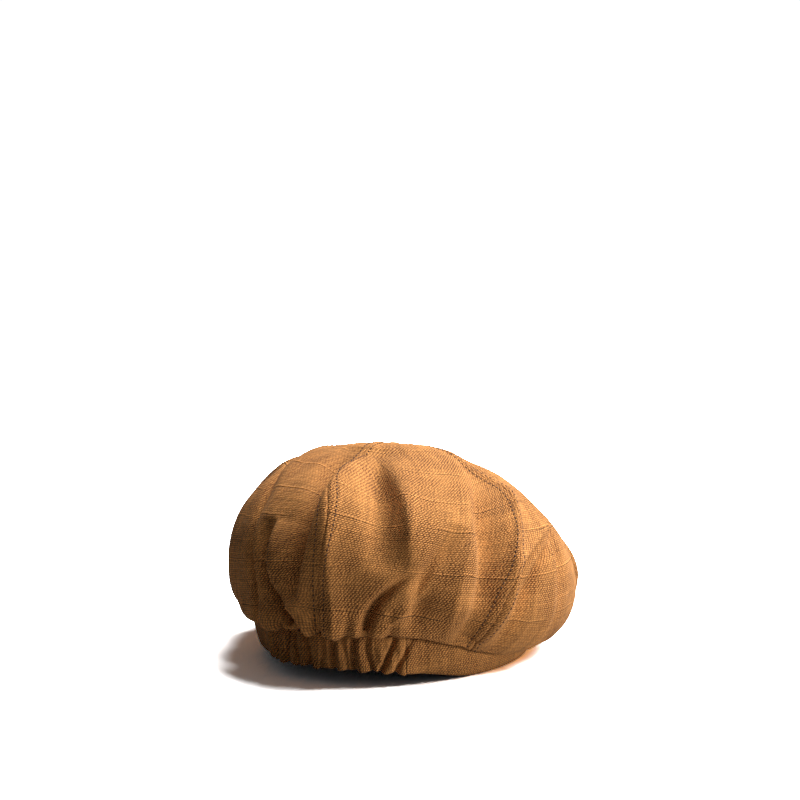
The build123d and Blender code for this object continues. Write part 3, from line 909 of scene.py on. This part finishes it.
def stitch_mesh(name, lines, material, slot, sink=-.2):
    """Short threads along each line: (points, normals) in mm, one closed capsule a stitch."""
    verts, faces, uvs = [], [], []
    sides, parts = 6, 5
    ring_at = np.linspace(0, 2 * np.pi, sides, endpoint=False)
    for points, normals in lines:
        arc = arc_lengths(points)
        start = STITCH_MARGIN
        while start + STITCH_LONG < arc[-1] - STITCH_MARGIN:
            t = np.linspace(start, start + STITCH_LONG, parts)
            c = np.stack([np.interp(t, arc, points[:, k]) for k in range(3)], 1)
            n = np.stack([np.interp(t, arc, normals[:, k]) for k in range(3)], 1)
            along = unit(np.gradient(c, axis=0))
            side = unit(np.cross(along, n))
            up = np.cross(side, along)
            bow = np.sin(np.linspace(0, np.pi, parts))
            c = c + up * (bow * .3 - sink - .25)[:, None]
            wide = STITCH_RADIUS * (.35 + .65 * bow)
            base = len(verts)
            for k in range(parts):
                for angle in ring_at:
                    verts.append(c[k] + wide[k] * (np.cos(angle) * side[k] + .8 * np.sin(angle) * up[k]))
                    uvs.append((t[k], angle))
            for k in range(parts - 1):
                for j in range(sides):
                    j2 = (j + 1) % sides
                    faces.append((base + k * sides + j, base + k * sides + j2,
                                  base + (k + 1) * sides + j2, base + (k + 1) * sides + j))
            faces.append(tuple(base + j for j in reversed(range(sides))))
            faces.append(tuple(base + (parts - 1) * sides + j for j in range(sides)))
            start += STITCH_LONG + STITCH_GAP
    piece = make_object(name, verts, faces, uvs)
    return dress(piece, material, slot)


def crown_line(first, offset):
    """A line beside a seam, offset mm round from it, lying on the crown."""
    s = STITCH_SHARES
    deg = seam_at(first, s)
    P, _, _ = CROWN.at(deg, s)
    radius = np.maximum(np.hypot(P[:, 0], P[:, 1]), 8)
    shifted = deg + np.degrees(offset / radius)
    P, n, _ = crown_surface(shifted, s)
    nearby, _, _ = crown_surface(shifted + .2, s)
    up = np.gradient(P, axis=0)
    return P, unit(np.cross(nearby - P, up))


def crown_stitches():
    for name, first in PANELS.items():
        lines = [crown_line(first, side * STITCH_OFFSET) for side in (-1, 1)]
        warp(stitch_mesh("topstitch_crown_" + str(first), lines, SHADE_DARKENED_THREAD, "shell_twill"))


# ---- brim ----
BRIM_TILT, BRIM_BOW = .0629, 700.0  # mm up for each mm back, and the radius of the bow across, mm
CORNER = np.array([67.45, -38.37])  # where the brim's edge meets the band on the left
REACH = CORNER[1] - BRIM_LOW[1]  # from there forward to the edge


def brim_point(a, b, height):
    """a runs round the brim from its right corner to its left, b from the band to the edge."""
    inner_deg = np.radians(-150 + 120 * a)
    inner_r = band_r(np.degrees(inner_deg)) + .2
    inner = np.stack([inner_r * np.cos(inner_deg), inner_r * np.sin(inner_deg)], -1)
    turn = np.radians(-180 + 180 * a)
    outer = np.stack([CORNER[0] * np.cos(turn), CORNER[1] + REACH * np.sin(turn)], -1)
    xy = inner + (outer - inner) * b[..., None]
    z = UNDER_LOW[2] + BRIM_TILT * (xy[..., 1] - BRIM_LOW[1]) - xy[..., 0]**2 / (2 * BRIM_BOW) + height
    return np.concatenate([xy, z[..., None]], -1)


def brim_depth(a):
    edge, band_side = brim_point(a, np.ones_like(a), 0 * a), brim_point(a, np.zeros_like(a), 0 * a)
    return span(edge - band_side)


STITCH_ROWS = (3.0, 6.5, 13.0)  # in from the brim's edge
BRIM_RISE, BRIM_STITCH_RISE = 3.2, 3.0  # from the under cover's foot up to the top cloth and its stitches


def brim_piece(name, node, over_edge, thick):
    a = np.linspace(0, 1, 230)
    depth = np.maximum(brim_depth(a), 1)
    flat = np.linspace(0, 1, 46)
    a2, b2 = grid(a, flat)
    d2 = np.broadcast_to(depth[:, None], a2.shape)
    edge = (1 - b2) * d2
    if over_edge:
        rise = BRIM_RISE + .25 * wave(a2 * 180, b2, 31, 9, 2)
    else:
        rise = thick - .1 * wave(a2 * 180, b2, 32, 9, 2)
    groove = sum(.32 * np.exp(-((edge - row) / .55)**2) for row in STITCH_ROWS)
    round_off = 1.45 * np.exp(-(edge / 1.1)**1.6)
    body = rise + (-groove - round_off if over_edge else 0)
    P = brim_point(a2, b2 * (1 - .3 / d2), body)
    if over_edge:
        turn = np.radians(np.array([30, 60, 90, 120, 150, 180]))
        a3, t3 = grid(a, turn)
        d3 = np.broadcast_to(depth[:, None], a3.shape)
        curl = brim_point(a3, 1 + (.8 * np.sin(t3) - .3) / d3, 1.0 + .75 * np.cos(t3))
        P = np.concatenate([P, curl], 1)
    uv = P[..., :2] if over_edge else P[..., :2] + (3, 0)
    normal = grid_normals(P)
    if over_edge:
        piece = cloth(name, P[::-1], thick * normal[::-1] * (1 if normal[110, 20, 2] < 0 else -1), uv[::-1])
    else:
        piece = cloth(name, P[::-1], np.broadcast_to((0, 0, -thick), P.shape), uv[::-1])
    dress(piece, SHELL_PLAIN, "shell_twill", node)
    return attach(piece, "cap")


def brim():
    brim_piece("brim_top_cloth", "brim_top_cover", True, .7)
    brim_piece("brim_under_cloth", "brim_under_cover", False, .8)
    a = np.linspace(.03, .97, 400)
    lines = []
    for row in STITCH_ROWS:
        wide = brim_depth(a) > row + 4
        edge = 1 - row / brim_depth(a[wide])
        P = brim_point(a[wide], edge, np.full(wide.sum(), BRIM_STITCH_RISE))
        lines.append((P, np.broadcast_to((0., 0., 1.), P.shape)))
    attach(stitch_mesh("topstitch_brim", lines, SHADE_DARKENED_THREAD, "shell_twill", sink=-.05), "cap")
    paint("brim_board", PLASTIC)


# ---- button ----
BUTTON_RADIUS, BUTTON_HEIGHT = 8.0, 4.5
BUTTON_TILT = 21.5  # degrees, as the crown's point slopes forward
BUTTON_CLOTH = .8


def button():
    tilt = math.radians(BUTTON_TILT)
    radius, height, turns, rings = BUTTON_RADIUS, BUTTON_HEIGHT, 96, 30
    seat = np.array([0, BUTTON_HIGH[1] - radius * math.cos(tilt), BUTTON_LOW[2] + radius * math.sin(tilt)])
    ball = (radius**2 + height**2) / (2 * height)
    t = np.linspace(0, 2 * np.pi, turns, endpoint=False)
    across = np.linspace(.02, 1, rings)
    t2, q2 = grid(t, across)
    r = radius * q2
    z = np.sqrt(ball**2 - r**2) - (ball - height)
    pleat = .16 * np.sin(13 * t2 + .8 * np.sin(3 * t2)) * q2**6
    r = r + pleat
    tuck = np.array([1.0, .93, .8, .62])
    t3, q3 = grid(t, tuck)
    under_z = -.45 * (1 - (2 * q3 - 1.62)**2)
    under = polar(radius * q3, t3, under_z)
    P = np.concatenate([polar(r, t2, z), under], 1)[:, ::-1]
    normal = grid_normals(P, wrap=True)
    if normal[0, -8, 2] < 0:
        normal = -normal
    turn = np.array([[1, 0, 0], [0, math.cos(tilt), -math.sin(tilt)], [0, math.sin(tilt), math.cos(tilt)]])
    place = P @ turn.T + seat
    uv = P[..., :2] + 40
    piece = cloth("button_cloth", place, -BUTTON_CLOTH * (normal @ turn.T), uv, wrap=True)
    dress(piece, SHELL_PLAIN, "shell_twill", "button_cover")
    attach(piece, "cap")
    paint("button_shell", METAL)
    paint("button_back", METAL)
    paint("button_thread", NAVY_THREAD)


# ---- blank size label ----
LABEL_IN, LABEL_BOW = 2.75, .15  # from the band's outer face in to the label, and its slack
LABEL_CLOTH = (-.35, 0, 0)


def label():
    length, high = LABEL_HIGH[1] - LABEL_LOW[1], LABEL_HIGH[2] - LABEL_LOW[2]
    y, z = np.linspace(-length / 2, length / 2, 40), np.linspace(LABEL_LOW[2], LABEL_HIGH[2], 20)
    y2, z2 = grid(y, z)
    deg = np.degrees(np.arctan2(y2, BAND_A - 3))
    v = (z2 - around(deg, LOW)) / (around(deg, HIGH) - around(deg, LOW))
    slack = LABEL_BOW * np.sin(np.pi * (z2 - LABEL_LOW[2]) / high)
    r = band_r(deg) - LABEL_IN - around(deg, LEAN) * (1 - v) - slack
    x = np.sqrt(np.maximum(r**2 - y2**2, 0))
    P = np.stack([x, y2, z2], -1)
    piece = cloth("size_label_blank", P, np.broadcast_to(LABEL_CLOTH, P.shape), P[..., 1:])
    dress(piece, LABEL, "label_cloth", "size_label")
    warp(piece)


# ---- build ----
band()
for panel, first_seam in PANELS.items():
    crown_panel(panel, first_seam)
    lining_panel(panel, first_seam)
crown_stitches()
brim()
button()
label()


# ---- floor, light and camera ----
FLOOR_SEEN, FLOOR_BOUNCE = 5.4, .28  # the floor's albedo: overexposed to the camera, dim to bounced light
WORLD_SEEN, WORLD_LIT = 1.05, .03  # the world's strength to the camera, and as a light
FLOOR_HALF = 1.6  # metres


def camera_switch(tree, seen, lit, output):
    """Camera rays meet the shader seen, and every other ray the shader lit."""
    path, mix = tree.nodes.new("ShaderNodeLightPath"), tree.nodes.new("ShaderNodeMixShader")
    tree.links.new(path.outputs["Is Camera Ray"], mix.inputs[0])
    tree.links.new(lit.outputs[0], mix.inputs[1])
    tree.links.new(seen.outputs[0], mix.inputs[2])
    tree.links.new(mix.outputs[0], output.inputs["Surface"])


def floor():
    mesh = bpy.data.meshes.new("floor")
    corners = [(-1, -1), (1, -1), (1, 1), (-1, 1)]
    mesh.from_pydata([(x * FLOOR_HALF, y * FLOOR_HALF, 0) for x, y in corners], [], [(0, 1, 2, 3)])
    obj = add_object("floor", mesh)
    g = Graph("floor_paper")
    seen, lit = g.node("BsdfDiffuse"), g.node("BsdfDiffuse")
    seen.inputs["Color"].default_value = (FLOOR_SEEN, FLOOR_SEEN * .99, FLOOR_SEEN * .985, 1)
    lit.inputs["Color"].default_value = (FLOOR_BOUNCE, FLOOR_BOUNCE, FLOOR_BOUNCE, 1)
    camera_switch(g.tree, seen, lit, g.tree.nodes["Material Output"])
    obj.data.materials.append(g.material)


CAMERA_PLACE = Vector((-405.3, 1104.0, 278.4)) * MM
CAMERA_TARGET = Vector((2.5, -16.3, 132.0)) * MM


def aim(obj, target):
    obj.rotation_mode = "QUATERNION"
    obj.rotation_quaternion = (Vector(target) - obj.location).to_track_quat("-Z", "Y")


def softbox(name, direction, distance, size, power):
    """An area light in the direction (right, up, towards the camera) as the camera sees it."""
    back = (CAMERA_PLACE - CAMERA_TARGET)
    back.z = 0
    back.normalize()
    right = Vector((0, 0, 1)).cross(back)
    light = bpy.data.lights.new(name, "AREA")
    light.shape = "RECTANGLE"
    light.size, light.size_y = size
    light.energy = power
    obj = add_object(name, light)
    centre = Vector((0, 0, .05))
    where = (right * direction[0] + Vector((0, 0, 1)) * direction[1] + back * direction[2]).normalized()
    obj.location = centre + where * distance
    aim(obj, centre)
    return obj


def lighting():
    softbox("key", (.45, .85, -.27), distance=1.4, size=(1.4, 1.4), power=68)
    side = softbox("side", (.92, .10, .38), distance=1.6, size=(.7, .5), power=19)
    beside = bpy.data.collections.new("not_lit_from_the_side")
    beside.objects.link(bpy.data.objects["floor"])
    side.light_linking.receiver_collection = beside
    beside.collection_objects[0].light_linking.link_state = "EXCLUDE"
    world = bpy.data.worlds.new("studio")
    bpy.context.scene.world = world
    world.use_nodes = True
    tree = world.node_tree
    seen, lit = tree.nodes["Background"], tree.nodes.new("ShaderNodeBackground")
    seen.inputs["Color"].default_value = (1, 1, 1, 1)
    seen.inputs["Strength"].default_value = WORLD_SEEN
    lit.inputs["Color"].default_value = (.96, .98, 1, 1)
    lit.inputs["Strength"].default_value = WORLD_LIT
    camera_switch(tree, seen, lit, tree.nodes["World Output"])


def camera():
    data = bpy.data.cameras.new("camera")
    data.lens, data.sensor_width = 100, 36
    data.clip_start, data.clip_end = .01, 50
    obj = add_object("camera", data)
    obj.location = CAMERA_PLACE
    aim(obj, CAMERA_TARGET)
    bpy.context.scene.camera = obj


floor()
lighting()
camera()
bpy.context.scene.view_settings.view_transform = "Standard"
bpy.context.scene.view_settings.look = "None"
